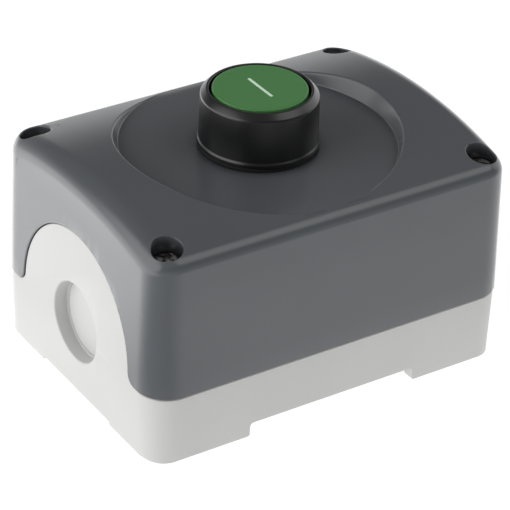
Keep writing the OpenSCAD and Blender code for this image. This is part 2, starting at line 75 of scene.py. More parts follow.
COVER_HIGH = box_mm("enclosure_cover")[1]
BASE_HIGH = box_mm("enclosure_base")[1]
RING_LOW, RING_HIGH = box_mm("bezel_ring")
CAP_LOW, CAP_HIGH = box_mm("button_cap")
SEAL_LOW, SEAL_HIGH = box_mm("panel_gasket")
BAR_LOW, BAR_HIGH = box_mm("start_symbol")
SCREW_LOW, SCREW_HIGH = box_mm("cover_screws")

# The case: an outline with round corners, walls that lean in, and an arched top
CORNER_R = 7.8
HALF_L = COVER_HIGH.x
HALF_W = COVER_HIGH.y
CORE_X = HALF_L - CORNER_R
CORE_Y = HALF_W - CORNER_R
BASE_INSET = HALF_L - BASE_HIGH.x
BASE_RHO = CORNER_R - BASE_INSET
SEAM_Z = 18.0
SEAM_GAP = 0.1
CROWN_Z = COVER_HIGH.z
CROWN_R = 125.0
AXIS_Z = CROWN_Z - CROWN_R
END_EDGE_R = 5.4
SIDE_EDGE_R = 3.8
DRAFT = math.tan(math.radians(1.4))
FOOT_DRAFT = 0.3 / SEAM_Z
SHOULDER_Z = AXIS_Z + math.sqrt((CROWN_R - END_EDGE_R) ** 2 - CORE_Y ** 2)
COVER_WALL = 3.2
BASE_WALL = 3.4
SEAM_LIP_R = 0.35
CUT_R = 0.3

# The tongue at each end of the base, and the fillet at its foot
ARCH_Z = 19.5
ARCH_R = 24.8
FOOT_R = 3.3
FOOT_Y = math.sqrt((ARCH_R + FOOT_R) ** 2 - (SEAM_Z + FOOT_R - ARCH_Z) ** 2)
FOOT_A = math.degrees(math.asin((SEAM_Z + FOOT_R - ARCH_Z) / (ARCH_R + FOOT_R)))

# The dial recess, and the hole in the panel under it with the slot for the actuator's nib
RECESS_R = 33.55
RECESS_Z = SEAL_LOW.z
RECESS_FLARE = 0.42
RIM_BLEND = 0.7
FLOOR_BLEND = 0.25
PANEL_UNDER_Z = RECESS_Z - 3.0
PANEL_BOSS_R = RECESS_R + 3.5
PANEL_HOLE_R = 11.15
NIB_HALF_W, NIB_REACH = 1.6, 12.05

# The corner screws, their wells and the towers round them
SCREW_X, SCREW_Y = 43.7, 30.5
WELL_R = 3.65
SEAT_Z = 49.4
TOWER_R = 6.2
SHANK_HOLE_R = 2.3
RING_POCKET_R, RING_POCKET_H = 3.5, 2.0

# Length that reaches past whatever is being cut
PAST = 5.0


# ---------------------------------------------------------------- outlines

def lerp(a, b, t):
    return a + (b - a) * t


def arc(cx, cy, r, start, end, steps):
    """Points along a circle's arc, angles in degrees."""
    turn = [math.radians(lerp(start, end, i / steps)) for i in range(steps + 1)]
    return [(cx + r * math.cos(a), cy + r * math.sin(a)) for a in turn]


def rounded(corners, steps=5):
    """Closed outline from (x, y, radius) corners, each with its own rounding."""
    out = []
    count = len(corners)
    for i, (x, y, r) in enumerate(corners):
        if r <= 0:
            out.append((x, y))
            continue
        here = Vector((x, y))
        back = (Vector(corners[i - 1][:2]) - here).normalized()
        ahead = (Vector(corners[(i + 1) % count][:2]) - here).normalized()
        half = back.angle(ahead) / 2
        middle = here + (back + ahead).normalized() * (r / math.sin(half))
        first = here + back * (r / math.tan(half)) - middle
        last = here + ahead * (r / math.tan(half)) - middle
        swing = first.angle_signed(last)
        for k in range(steps + 1):
            spoke = first.copy()
            spoke.rotate(Matrix.Rotation(-swing * k / steps, 2))
            out.append(tuple(middle + spoke))
    return out


def quarter_turn(steps=4):
    """Angles of a quarter turn, for a small rounding."""
    return [math.radians(90 * k / steps) for k in range(steps + 1)]


def skeleton(corner_steps=14, long_steps=72, short_steps=54):
    """Stations round the case: a point on the corner-centre rectangle and the outward direction."""
    out = []
    corners = [(1, 1, 0), (-1, 1, 90), (-1, -1, 180), (1, -1, 270)]
    for i, (sx, sy, start) in enumerate(corners):
        c = Vector((sx * CORE_X, sy * CORE_Y))
        for k in range(corner_steps + 1):
            a = math.radians(start + 90 * k / corner_steps)
            out.append((c, Vector((math.cos(a), math.sin(a)))))
        nx, ny, _ = corners[(i + 1) % 4]
        after = Vector((nx * CORE_X, ny * CORE_Y))
        steps = long_steps if ny == sy else short_steps
        side = out[-1][1]
        out += [(c.lerp(after, k / steps), side) for k in range(1, steps)]
    return out


STATIONS = skeleton()


def case_loop(rho, z):
    """Loop round the case at a distance rho from the corner-centre rectangle."""
    return [(*(c + n * rho), z) for c, n in STATIONS]


def lean(z):
    """How far the walls stand in from their outline at the seam, at height z."""
    return (z - SEAM_Z) * DRAFT if z > SEAM_Z else (SEAM_Z - z) * FOOT_DRAFT


def leaned(ob, beyond):
    """Leans the parts of ob that lie further out than beyond along X, as the walls do."""
    mesh = bmesh.new()
    mesh.from_mesh(ob.data)
    everything = mesh.verts[:] + mesh.edges[:] + mesh.faces[:]
    bmesh.ops.bisect_plane(mesh, geom=everything, plane_co=(0, 0, SEAM_Z), plane_no=(0, 0, 1))
    mesh.to_mesh(ob.data)
    mesh.free()
    for v in ob.data.vertices:
        if abs(v.co.x) > beyond:
            v.co.x -= math.copysign(lean(v.co.z), v.co.x)
    return ob


def seam_outline(d, foot_end=262.0, steps=72, low=8.0):
    """The tongue's outline in Y and Z, moved outwards by d, with its two fillets at the foot."""
    foot = arc(FOOT_Y, SEAM_Z + FOOT_R, FOOT_R - d, foot_end, 180 + FOOT_A, 10)
    tongue = arc(0, ARCH_Z, ARCH_R + d, FOOT_A, 180 - FOOT_A, steps)[1:-1]
    other = [(-y, z) for y, z in reversed(foot)]
    return [(foot[0][0], low)] + foot + tongue + other + [(other[-1][0], low)]


# ---------------------------------------------------------------- solids

def make(name, verts, faces):
    mesh = bpy.data.meshes.new(name)
    mesh.from_pydata([tuple(v) for v in verts], [], faces)
    mesh.validate()
    ob = bpy.data.objects.new(name, mesh)
    bpy.context.scene.collection.objects.link(ob)
    return ob


def loft(name, loops):
    """Closed solid through loops of equal length, capped at both ends."""
    count = len(loops[0])
    verts = [v for loop in loops for v in loop]
    faces = [tuple(range(count))[::-1]]
    for j in range(len(loops) - 1):
        a, b = j * count, (j + 1) * count
        for i in range(count):
            k = (i + 1) % count
            faces.append((a + i, a + k, b + k, b + i))
    faces.append(tuple(range((len(loops) - 1) * count, len(loops) * count)))
    return make(name, verts, faces)


def lathe(name, profile, steps=96, at=(0, 0, 0)):
    """Solid turned about Z from a closed outline of (radius, height); radius 0 lies on the axis."""
    verts, rings, faces = [], [], []
    for r, z in profile:
        if r < 1e-6:
            rings.append([len(verts)] * steps)
            verts.append((at[0], at[1], at[2] + z))
            continue
        rings.append([len(verts) + i for i in range(steps)])
        for i in range(steps):
            a = 2 * math.pi * i / steps
            verts.append((at[0] + r * math.cos(a), at[1] + r * math.sin(a), at[2] + z))
    for j in range(len(rings)):
        lower, upper = rings[j], rings[(j + 1) % len(rings)]
        for i in range(steps):
            k = (i + 1) % steps
            face = [lower[i], lower[k], upper[k], upper[i]]
            face = [v for n, v in enumerate(face) if v not in face[:n]]
            if len(face) > 2:
                faces.append(tuple(face))
    return make(name, verts, faces)


def drum(name, r, z0, z1, at=(0, 0, 0), steps=96):
    """Plain round solid between two heights, used to add and to bore."""
    return lathe(name, [(0, z0), (r, z0), (r, z1), (0, z1)], steps, at)


def along_x(name, outline, xs):
    """Solid from outlines in Y and Z at given X; one outline may serve all."""
    outlines = outline if isinstance(outline[0], list) else [outline] * len(xs)
    return loft(name, [[(x, y, z) for y, z in o] for x, o in zip(xs, outlines)])


def along_y(name, outline, ys):
    """Solid from an outline in X and Z, drawn out between two Y."""
    return loft(name, [[(x, y, z) for x, z in outline] for y in reversed(ys)])


def block(name, low, high):
    """Straight-sided solid between two opposite corners."""
    (x0, y0, z0), (x1, y1, z1) = low, high
    plan = [(x0, y0), (x1, y0), (x1, y1), (x0, y1)]
    return loft(name, [[(x, y, z) for x, y in plan] for z in (z0, z1)])


def csg(target, operation, *tools):
    """Applies boolean tools to target in turn, and removes the tools."""
    for tool in tools:
        boolean = target.modifiers.new("csg", "BOOLEAN")
        boolean.operation = operation
        boolean.solver = "MANIFOLD"
        boolean.object = tool
    bake(target)
    for tool in tools:
        drop(tool)
    return target


def bake(ob):
    """Applies the modifiers of ob to its mesh."""
    graph = bpy.context.evaluated_depsgraph_get()
    mesh = bpy.data.meshes.new_from_object(ob.evaluated_get(graph))
    old = ob.data
    ob.modifiers.clear()
    ob.data = mesh
    bpy.data.meshes.remove(old)


def drop(ob):
    mesh = ob.data
    bpy.data.objects.remove(ob)
    bpy.data.meshes.remove(mesh)


def union(target, *tools):
    return csg(target, "UNION", *tools)


def cut(target, *tools):
    return csg(target, "DIFFERENCE", *tools)


def common(target, *tools):
    return csg(target, "INTERSECT", *tools)


def copy(ob, name):
    twin = bpy.data.objects.new(name, ob.data.copy())
    bpy.context.scene.collection.objects.link(twin)
    return twin


def finish_piece(ob, name, body, material, stands_for=(), smooth=35.0):
    """Turns a solid in millimetres into a finished piece in metres."""
    ob.name = name
    ob.data.name = name
    ob.data.transform(Matrix.Scale(0.001, 4))
    ob.data.materials.clear()
    ob.data.materials.append(material)
    ob.data.polygons.foreach_set("use_smooth", [True] * len(ob.data.polygons))
    ob.data.set_sharp_from_angle(angle=math.radians(smooth))
    if body:
        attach(ob, body)
    if stands_for:
        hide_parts(*stands_for)
    return ob


# ---------------------------------------------------------------- materials

class Nodes:
    """Short helper for building a node tree."""

    def __init__(self, name, world=False):
        kind = bpy.data.worlds if world else bpy.data.materials
        self.material = kind.new(name)
        self.material.use_nodes = True
        self.tree = self.material.node_tree
        self.tree.nodes.clear()
        self.out = self.add("ShaderNodeOutputWorld" if world else "ShaderNodeOutputMaterial")
        self.shader = self.add("ShaderNodeBackground" if world else "ShaderNodeBsdfPrincipled")
        self.link(self.shader.outputs[0], self.out.inputs[0])
        self.place = self.add("ShaderNodeTexCoord").outputs["Object"]

    def add(self, kind, **settings):
        node = self.tree.nodes.new(kind)
        for key, value in settings.items():
            setattr(node, key, value)
        return node

    def link(self, a, b):
        self.tree.links.new(a, b)

    def value(self, socket, value):
        """Feeds a socket from another socket or with a constant."""
        if hasattr(value, "links") or isinstance(value, bpy.types.NodeSocket):
            self.link(value, socket)
        else:
            socket.default_value = value

    def noise(self, size_mm, detail=2.0, rough=0.5, stretch=None):
        """Noise whose blotches are about size_mm across, squeezed along each axis by stretch."""
        source = self.place
        if stretch:
            mapping = self.add("ShaderNodeMapping")
            mapping.inputs["Scale"].default_value = stretch
            self.link(self.place, mapping.inputs["Vector"])
            source = mapping.outputs[0]
        node = self.add("ShaderNodeTexNoise")
        self.link(source, node.inputs["Vector"])
        node.inputs["Scale"].default_value = 1000.0 / size_mm
        node.inputs["Detail"].default_value = detail
        node.inputs["Roughness"].default_value = rough
        return node.outputs["Fac"]

    def range(self, source, a, b, low=0.0, high=1.0, smooth=False):
        """Maps a..b of the source to low..high."""
        kind = "SMOOTHSTEP" if smooth else "LINEAR"
        node = self.add("ShaderNodeMapRange", interpolation_type=kind)
        self.link(source, node.inputs["Value"])
        for key, v in zip(("From Min", "From Max", "To Min", "To Max"), (a, b, low, high)):
            node.inputs[key].default_value = v
        return node.outputs[0]

    def math(self, operation, a, b):
        node = self.add("ShaderNodeMath", operation=operation, use_clamp=False)
        self.value(node.inputs[0], a)
        self.value(node.inputs[1], b)
        return node.outputs[0]

    def blend_values(self, factor, a, b):
        node = self.add("ShaderNodeMix", data_type="FLOAT")
        for socket, value in zip((0, 2, 3), (factor, a, b)):
            self.value(node.inputs[socket], value)
        return node.outputs[0]

    def facing(self, ray, way, start, full):
        """0 to 1 as the ray turns towards way."""
        dot = self.add("ShaderNodeVectorMath", operation="DOT_PRODUCT")
        self.link(ray, dot.inputs[0])
        dot.inputs[1].default_value = Vector(way).normalized()
        return self.range(dot.outputs["Value"], start, full, 0, 1, True)

    def cavity(self, reach_mm):
        """1 deep in narrow wells, 0 in the open: the mask for painted shade."""
        node = self.add("ShaderNodeAmbientOcclusion", samples=6)
        node.inputs["Distance"].default_value = reach_mm / 1000
        return self.range(node.outputs["AO"], 0.8, 0.4, 0, 1, True)

    def mix(self, factor, a, b):
        node = self.add("ShaderNodeMix", data_type="RGBA")
        self.value(node.inputs["Factor"], factor)
        self.value(node.inputs["A"], a)
        self.value(node.inputs["B"], b)
        return node.outputs["Result"]

    def edges(self, radius_mm):
        """1 on edges, 0 on open surface, from the change of a rounded normal."""
        bevel = self.add("ShaderNodeBevel", samples=4)
        bevel.inputs["Radius"].default_value = radius_mm / 1000
        geometry = self.add("ShaderNodeNewGeometry")
        dot = self.add("ShaderNodeVectorMath", operation="DOT_PRODUCT")
        self.link(bevel.outputs[0], dot.inputs[0])
        self.link(geometry.outputs["Normal"], dot.inputs[1])
        return self.range(dot.outputs["Value"], 0.995, 0.88)

    def bumps(self, layers, bevel_mm=0.0):
        """Stacks (height, strength, depth in mm) bumps on a rounded normal."""
        normal = None
        if bevel_mm:
            bevel = self.add("ShaderNodeBevel", samples=4)
            bevel.inputs["Radius"].default_value = bevel_mm / 1000
            normal = bevel.outputs[0]
        for height, strength, depth_mm in layers:
            bump = self.add("ShaderNodeBump")
            bump.inputs["Strength"].default_value = strength
            bump.inputs["Distance"].default_value = depth_mm / 1000
            self.link(height, bump.inputs["Height"])
            if normal is not None:
                self.link(normal, bump.inputs["Normal"])
            normal = bump.outputs[0]
        self.link(normal, self.shader.inputs["Normal"])


def linear(colour):
    """sRGB 0-255 to linear with alpha."""
    out = []
    for c in colour:
        c = c / 255
        out.append(c / 12.92 if c <= 0.04045 else ((c + 0.055) / 1.055) ** 2.4)
    return (*out, 1.0)


def shade(colour, factor):
    """A linear colour made lighter or darker."""
    return (*(min(1.0, c * factor) for c in colour[:3]), 1.0)


def moulded(name, colour, roughness, grain=(0.5, 0.015), specular=0.5, wear=0.3, spots=0.1,
            bevel_mm=0.12, painted_well_shade=0.0):
    """Moulded plastic: fine spark grain, cloudy flow marks, rubbed edges, and painted shade deep in wells.

    grain is its size and depth in mm; wear and spots are how strongly each one shows, and the last argument
    is how strongly shade is painted deep in wells.
    """
    n = Nodes(name)
    base = linear(colour)
    tone = n.mix(n.noise(26, 2, 0.5), shade(base, 1 - spots), shade(base, 1 + spots))
    rub = n.math("MULTIPLY", n.edges(0.5), n.noise(3.0, 2, 0.5))
    tone = n.mix(n.math("MULTIPLY", rub, wear), tone, shade(base, 1.9))
    # Painted shade: the colour goes nearly black deep in wells and recesses, where shade falls.
    if painted_well_shade:
        tone = n.mix(n.math("MULTIPLY", n.cavity(6.0), painted_well_shade), tone, shade(base, 0.1))
    n.link(tone, n.shader.inputs["Base Color"])
    polish = n.range(n.noise(9, 2, 0.5), 0, 1, roughness - 0.06, roughness + 0.06)
    n.link(polish, n.shader.inputs["Roughness"])
    n.shader.inputs["Specular IOR Level"].default_value = specular
    grain_mm, grain_depth = grain
    n.bumps([(n.noise(grain_mm, 2, 0.6), 0.6, grain_depth)], bevel_mm)
    return n.material


def metal(name, colour, roughness, streak=(1, 1, 12), wear=0.35, bevel_mm=0.05):
    """Plated or drawn metal: directional streaks, darker tarnish in patches, bright edges.

    streak squeezes the grain along each axis, so that it runs across the longest one.
    """
    n = Nodes(name)
    base = linear(colour)
    lines = n.noise(0.35, 2, 0.6, streak)
    patch = n.range(n.noise(2.2, 4, 0.6), 0.35, 0.7)
    tone = n.mix(patch, base, shade(base, 0.72))
    tone = n.mix(n.math("MULTIPLY", n.edges(0.2), wear), tone, shade(base, 1.25))
    n.link(tone, n.shader.inputs["Base Color"])
    n.shader.inputs["Metallic"].default_value = 1.0
    n.link(n.range(lines, 0.3, 0.7, roughness - 0.08, roughness + 0.1), n.shader.inputs["Roughness"])
    n.bumps([(lines, 0.35, 0.01)], bevel_mm)
    return n.material


def rubber(name, colour, roughness=0.75):
    """Matt rubber with a dusty bloom."""
    n = Nodes(name)
    base = linear(colour)
    bloom = n.range(n.noise(4, 4, 0.7), 0.45, 0.75)
    n.link(n.mix(n.math("MULTIPLY", bloom, 0.4), base, shade(base, 2.4)), n.shader.inputs["Base Color"])
    n.link(n.range(bloom, 0, 1, roughness - 0.08, roughness + 0.1), n.shader.inputs["Roughness"])
    n.shader.inputs["Specular IOR Level"].default_value = 0.35
    n.bumps([(n.noise(0.6, 2, 0.6), 0.5, 0.02)], 0.08)
    return n.material


# The cover's colour carries painted shade in its screw wells.
COVER = moulded("cover_moulded", (85, 88, 92), 0.22, (0.55, 0.014), wear=0.25, spots=0.05, painted_well_shade=0.9)
BASE = moulded("base_moulded", (203, 203, 201), 0.5, (0.6, 0.016), 0.15, wear=0.1, spots=0.03)
BEZEL = moulded("bezel_moulded", (9, 9, 10), 0.3, (0.5, 0.012), 0.6, wear=0.35, spots=0.12)
GREEN = moulded("cap_moulded", (71, 131, 69), 0.4, (0.45, 0.014), 0.45, wear=0.2, spots=0.05)
WHITE = moulded("bar_moulded", (222, 250, 224), 0.42, (0.4, 0.01), 0.45, wear=0.1, spots=0.04)
BLACK = moulded("inner_black", (36, 37, 39), 0.45, (0.5, 0.015), wear=0.35, spots=0.1)
BLOCK = moulded("block_moulded", (212, 213, 207), 0.4, (0.5, 0.015), wear=0.15, spots=0.04)
PLUNGER = moulded("plunger_moulded", (70, 146, 76), 0.38, (0.4, 0.012), wear=0.2, spots=0.05)
WAXY = moulded("ring_moulded", (226, 222, 206), 0.35, (0.4, 0.008), wear=0.1, spots=0.04,
               bevel_mm=0.05)
RUBBER = rubber("seal_rubber", (26, 26, 28))
STEEL = metal("zinc_plated", (188, 186, 184), 0.26)
WIRE = metal("spring_wire", (178, 182, 186), 0.25, (1, 1, 1))
COPPER = metal("contact_strip", (200, 136, 92), 0.3, (12, 1, 1))
SILVER = metal("contact_point", (228, 229, 230), 0.22, (1, 1, 1))
BRASS = metal("insert_brass", (214, 172, 92), 0.3, (1, 1, 1))


# ---------------------------------------------------------------- cover

def smooth_min(a, b, k):
    """The lower of a and b, blended over a difference of k."""
    h = max(0.0, min(1.0, 0.5 + 0.5 * (b - a) / k))
    return lerp(b, a, h) - k * h * (1 - h)


def smooth_max(a, b, k):
    return -smooth_min(-a, -b, k)


def arch_height(y):
    """Height of the arched top over a distance y from the middle."""
    return AXIS_Z + math.sqrt(CROWN_R ** 2 - y ** 2)


def top_height(x, y):
    """Arched top with the dial recess sunk into it."""
    wall = RECESS_Z + (math.hypot(x, y) - RECESS_R) / RECESS_FLARE
    dial = smooth_max(RECESS_Z, wall, FLOOR_BLEND)
    return smooth_min(arch_height(y), dial, RIM_BLEND)


def recess_edge(angle):
    """Radius of the recess floor's edge, and of its rim, along one direction."""
    flat_y = math.sqrt(CROWN_R ** 2 - (RECESS_Z - AXIS_Z) ** 2)
    s = abs(math.sin(angle))
    floor = min(RECESS_R, flat_y / max(s, 1e-6))
    rise = max(0.0, arch_height(floor * s) - RECESS_Z)
    return floor, max(floor + RECESS_FLARE * rise, floor + 0.55)


def edge_balls(top_rho):
    """For each station: centre of the ball that rounds the upper edge, its radius and both normals."""
    balls = []
    for c, n in STATIONS:
        r = END_EDGE_R * n.x ** 2 + SIDE_EDGE_R * n.y ** 2
        q = c + n * (top_rho - r)
        z = AXIS_Z + math.sqrt((CROWN_R - r) ** 2 - q.y ** 2)
        up = Vector((0, q.y, z - AXIS_Z)).normalized()
        balls.append((Vector((*q, z)), r, Vector((*n, 0)), up))
    return balls


def recess_radii(out, floor, rim):
    """Radii from the upper edge in to the middle of the dial recess, closest at its rim and floor."""
    radii = [lerp(out, rim + 1.2, k / 10) for k in range(1, 11)]
    radii += [rim + d for d in (0.6, 0.27, 0.13, 0.0, -0.13, -0.27)]
    radii += [(rim + floor - 0.11) / 2]
    radii += [floor + d for d in (0.16, 0.06, -0.04, -0.15, -0.5, -1.4)]
    return radii + [lerp(floor - 1.4, 12.0, k / 8) for k in range(1, 9)]


def cover_skin():
    """The cover's outside: leaning walls, rounded edge, arched top and dial recess, closed below."""
    foot = SEAM_Z + SEAM_GAP
    lip = SEAM_LIP_R
    loops = []
    for a in quarter_turn():
        loops.append(case_loop(CORNER_R - lip + lip * math.sin(a), foot + lip - lip * math.cos(a)))
    balls = edge_balls(CORNER_R - lean(SHOULDER_Z))
    for k in range(1, 7):
        heights = [lerp(foot + lip, ball.z, k / 6) for ball, *_ in balls]
        loops.append([(*(c + n * (CORNER_R - lean(z))), z) for (c, n), z in zip(STATIONS, heights)])
    for k in range(1, 15):
        loops.append([ball + side.slerp(up, k / 14) * r for ball, r, side, up in balls])
    return loft("cover_skin", loops + top_loops(loops[-1]))


def top_loops(edge):
    """Loops over the arched top, from its edge in to the middle of the dial recess."""
    rays = []
    for x, y, _ in edge:
        angle = math.atan2(y, x)
        radii = recess_radii(math.hypot(x, y), *recess_edge(angle))
        rays.append([(r * math.cos(angle), r * math.sin(angle)) for r in radii])
    return [[(*ray[j], top_height(*ray[j])) for ray in rays] for j in range(len(rays[0]))]


def ring_wall(name, outer, inner, z0, z1):
    """Tube with the case's outline."""
    wall = loft(name, [case_loop(outer, z0), case_loop(outer, z1)])
    return cut(wall, loft("hollow", [case_loop(inner, z0 - 1), case_loop(inner, z1 + 1)]))


def seam_band(low, high):
    """The band that follows the seam, between two distances from it."""
    reach = HALF_L + 5
    band = along_x("band", plane_outline(high), (-reach, reach))
    return cut(band, along_x("under", plane_outline(low), (-reach - 1, reach + 1)))


def plane_outline(d):
    """Everything below the seam in Y and Z, moved outwards by d."""
    wide = HALF_W + 5
    full = seam_outline(d, 270.0)
    return [(-wide, 5 + d), (wide, 5 + d), (wide, SEAM_Z + d)] + full[1:-1] + [(-wide, SEAM_Z + d)]


def seam_cutter():
    """Opens both ends of the cover for the tongue, and rounds the edges of that opening."""
    turn = quarter_turn()
    outlines, xs = [], []
    for sign, order in ((-1, reversed(turn)), (1, turn)):
        for a in order:
            outlines.append(seam_outline(SEAM_GAP + CUT_R * (1 - math.cos(a))))
            xs.append(sign * (HALF_L - CUT_R + CUT_R * math.sin(a)))
    outlines = [outlines[0]] + outlines + [outlines[-1]]
    xs = [-HALF_L - 2] + xs + [HALF_L + 2]
    return leaned(along_x("seam_cutter", outlines, xs), HALF_L - 1)


def well_cutter(skin_tree, x, y):
    """Screw well whose rim is rounded where it meets the curved top."""
    steps = 72
    angles = [2 * math.pi * i / steps for i in range(steps)]
    dirs = [(math.cos(a), math.sin(a)) for a in angles]
    wide = WELL_R + CUT_R
    tops = []
    for dx, dy in dirs:
        spot = Vector((x + wide * dx, y + wide * dy, CROWN_Z + PAST))
        tops.append(skin_tree.ray_cast(spot, Vector((0, 0, -1)))[0].z)
    loops = [[(x + WELL_R * dx, y + WELL_R * dy, SEAT_Z) for dx, dy in dirs]]
    for a in quarter_turn():
        r = wide - CUT_R * math.cos(a)
        drop_z = CUT_R * (1 - math.sin(a))
        loops.append([(x + r * dx, y + r * dy, z - drop_z) for (dx, dy), z in zip(dirs, tops)])
    loops.append([(x + wide * dx, y + wide * dy, CROWN_Z + 3) for dx, dy in dirs])
    return loft("well", loops)


def corners():
    """Where the four corner screws stand."""
    return [(sx * SCREW_X, sy * SCREW_Y) for sx in (-1, 1) for sy in (-1, 1)]


def cover_hollow():
    """The room inside the cover: an arched roof, lower over the panel that carries the button."""
    inner = CORNER_R - COVER_WALL
    hollow = loft("hollow", [case_loop(inner, PAST), case_loop(inner, CROWN_Z)])
    roof = arc(0, AXIS_Z, CROWN_R - COVER_WALL, 68, 112, 64)
    common(hollow, along_x("roof", [(-45, 0), (45, 0)] + roof, (-60, 60)))
    return cut(hollow, drum("panel", PANEL_BOSS_R, PANEL_UNDER_Z, CROWN_Z + PAST, steps=128))


def screw_towers(skin):
    """Posts round the cover's screws, cut off at its outside."""
    foot = SEAM_Z + SEAM_GAP
    posts = [drum("post", TOWER_R, foot, CROWN_Z + PAST, (x, y, 0)) for x, y in corners()]
    return common(union(*posts), copy(skin, "skin_copy"))


def cover_holes(skin_tree):
    """Everything bored through the cover from above and below."""
    low, high = PANEL_UNDER_Z - PAST, CROWN_Z + PAST
    pocket_z = SEAM_Z + SEAM_GAP + RING_POCKET_H
    holes = [well_cutter(skin_tree, x, y) for x, y in corners()]
    holes += [drum("shank", SHANK_HOLE_R, 0, CROWN_Z, (x, y, 0), 48) for x, y in corners()]
    holes += [drum("cup", RING_POCKET_R, 0, pocket_z, (x, y, 0), 64) for x, y in corners()]
    holes.append(drum("hole", PANEL_HOLE_R, low, high))
    holes.append(block("nib_slot", (-NIB_HALF_W, 0, low), (NIB_HALF_W, NIB_REACH, high)))
    return holes


def build_cover():
    skin = cover_skin()
    tree = BVHTree.FromPolygons([v.co for v in skin.data.vertices],
                                [p.vertices[:] for p in skin.data.polygons])
    towers = screw_towers(skin)
    shell = union(cut(skin, cover_hollow()), towers)
    union(cut(shell, seam_cutter()), cover_lip())
    cut(shell, *cover_holes(tree))
    return finish_piece(shell, "cover_shell", "cover", COVER,
                        ["enclosure_cover"])


def cover_lip():
    """Locating lip that hangs inside the base's wall and follows the seam."""
    low, high = 10, CROWN_Z - 8
    out = BASE_RHO - BASE_WALL - 0.2
    inner = out - 1.2
    lip = common(ring_wall("lip", out, inner, low, high), seam_band(-2, 2))
    root = common(ring_wall("root", CORNER_R - COVER_WALL + 0.2, inner, low, high),
                  seam_band(0.3, 2))
    union(lip, root)
    return cut(lip, *[drum("clear", TOWER_R, PAST, SEAM_Z + SEAM_GAP, (x, y, 0)) for x, y in corners()])


# ---------------------------------------------------------------- base

FLOOR_Z, FLOOR_TOP = 4.2, 6.8
FOOT_EDGE_R = 0.5
ENTRY_R, ENTRY_Z, ENTRY_DEPTH = 10.1, 20.2, 3.6
ENTRY_WALL, ENTRY_WEB, ENTRY_EDGE_R = 2.4, 1.4, 0.4
SCORE_OUT, SCORE_IN, SCORE_H = ENTRY_R - 0.55, ENTRY_R - 0.95, 0.3
NOTCH_L, NOTCH_H = 47.0, 3.9
END_NOTCH_L, END_NOTCH_H = 32.0, 1.2
FIX_X, FIX_Y, FIX_R, FIX_BOSS_R = 33.0, 22.0, 2.25, 5.0
RIB_X, RIB_HALF_W, RIB_BOSS_R, PILOT_R = 27.5, 1.0, 3.4, 1.35
PILLAR_R = 5.6
INSERT_R, INSERT_Z, TIP_HOLE_R = 3.2, 8.6, 2.2
GROOVE_IN, GROOVE_W, GROOVE_H = 1.2, 1.4, 1.5


def base_walls():
    """The base's outside, with small roundings at the foot and at the seam."""
    top = SEAM_Z - SEAM_GAP
    foot, lip = FOOT_EDGE_R, SEAM_LIP_R
    loops = []
    for a in quarter_turn():
        rho = BASE_RHO - lean(0) - foot * (1 - math.sin(a))
        loops.append(case_loop(rho, foot * (1 - math.cos(a))))
    for a in quarter_turn():
        loops.append(case_loop(BASE_RHO - lip * (1 - math.cos(a)), top - lip * (1 - math.sin(a))))
    return loft("base_walls", loops)


def tongue(sign):
    """Round-topped tongue that rises from one end of the base."""
    inside, outside = BASE_HIGH.x - BASE_WALL, BASE_HIGH.x
    outlines, xs = [seam_outline(-SEAM_GAP)], [inside]
    for a in quarter_turn():
        outlines.append(seam_outline(-SEAM_GAP - CUT_R * (1 - math.cos(a))))
        xs.append(outside - CUT_R * (1 - math.sin(a)))
    if sign < 0:
        outlines.reverse()
        xs = [-x for x in reversed(xs)]
    return leaned(along_x("tongue", outlines, xs), BASE_HIGH.x - 1)


def turned_x(name, profile, sign, steps=96):
    """Solid turned about X from (radius, distance out from the middle); sign picks the end."""
    ob = lathe(name, profile, steps)
    ob.data.transform(Matrix.Rotation(math.radians(90 * sign), 4, "Y"))
    ob.data.transform(Matrix.Translation((0, 0, ENTRY_Z)))
    return ob


def entry_cutter(sign):
    """Knock-out recess with a rounded rim and a scored ring near the edge of its web."""
    face = BASE_HIGH.x
    deep = face - ENTRY_DEPTH
    wide = ENTRY_R + ENTRY_EDGE_R
    profile = [(0, deep), (SCORE_IN, deep), (SCORE_IN + 0.1, deep - SCORE_H),
               (SCORE_OUT - 0.1, deep - SCORE_H), (SCORE_OUT, deep), (ENTRY_R - 0.12, deep),
               (ENTRY_R, deep + 0.15)]
    profile += arc(wide, face - ENTRY_EDGE_R, ENTRY_EDGE_R, 180, 90, 5)
    profile += [(wide, face + 3), (0, face + 3)]
    return leaned(turned_x("entry", profile, sign), face - 1)


def under_notch(length, height, corner):
    """Outline of an opening under a wall, in a horizontal axis and Z."""
    half = length / 2
    return rounded([(-half - 0.8, -2, 0), (half + 0.8, -2, 0), (half + 0.8, 0, 0.6), (half, 0.6, 0.3),
                    (half, height, corner), (-half, height, corner), (-half, 0.6, 0.3),
                    (-half - 0.8, 0, 0.6)], 5)


def base_posts():
    """Solids added inside the base: pillars, fixing bosses, ribs and the walls round the entries."""
    posts = [drum("pillar", PILLAR_R, 0, SEAM_Z - SEAM_GAP, (x, y, 0), 64) for x, y in corners()]
    posts += [drum("boss", FIX_BOSS_R, 0, FLOOR_Z + 1, (x, y, 0), 64) for x, y in fixings()]
    half_w = BASE_HIGH.y - BASE_WALL / 2
    for x in (-RIB_X, RIB_X):
        posts.append(block("rib", (x - RIB_HALF_W, -half_w, 0), (x + RIB_HALF_W, half_w, FLOOR_Z + 1)))
        posts.append(drum("rib_boss", RIB_BOSS_R, 0, FLOOR_Z + 1, (x, 0, 0), 48))
    web, face = BASE_HIGH.x - ENTRY_DEPTH - ENTRY_WEB, BASE_HIGH.x - 1
    wide = ENTRY_R + ENTRY_WALL
    for sign in (-1, 1):
        posts.append(turned_x("entry_boss", [(0, web), (wide, web), (wide, face), (0, face)], sign))
    return posts


def fixings():
    """Where the four wall fixing holes are."""
    return [(sx * FIX_X, sy * FIX_Y) for sx in (-1, 1) for sy in (-1, 1)]


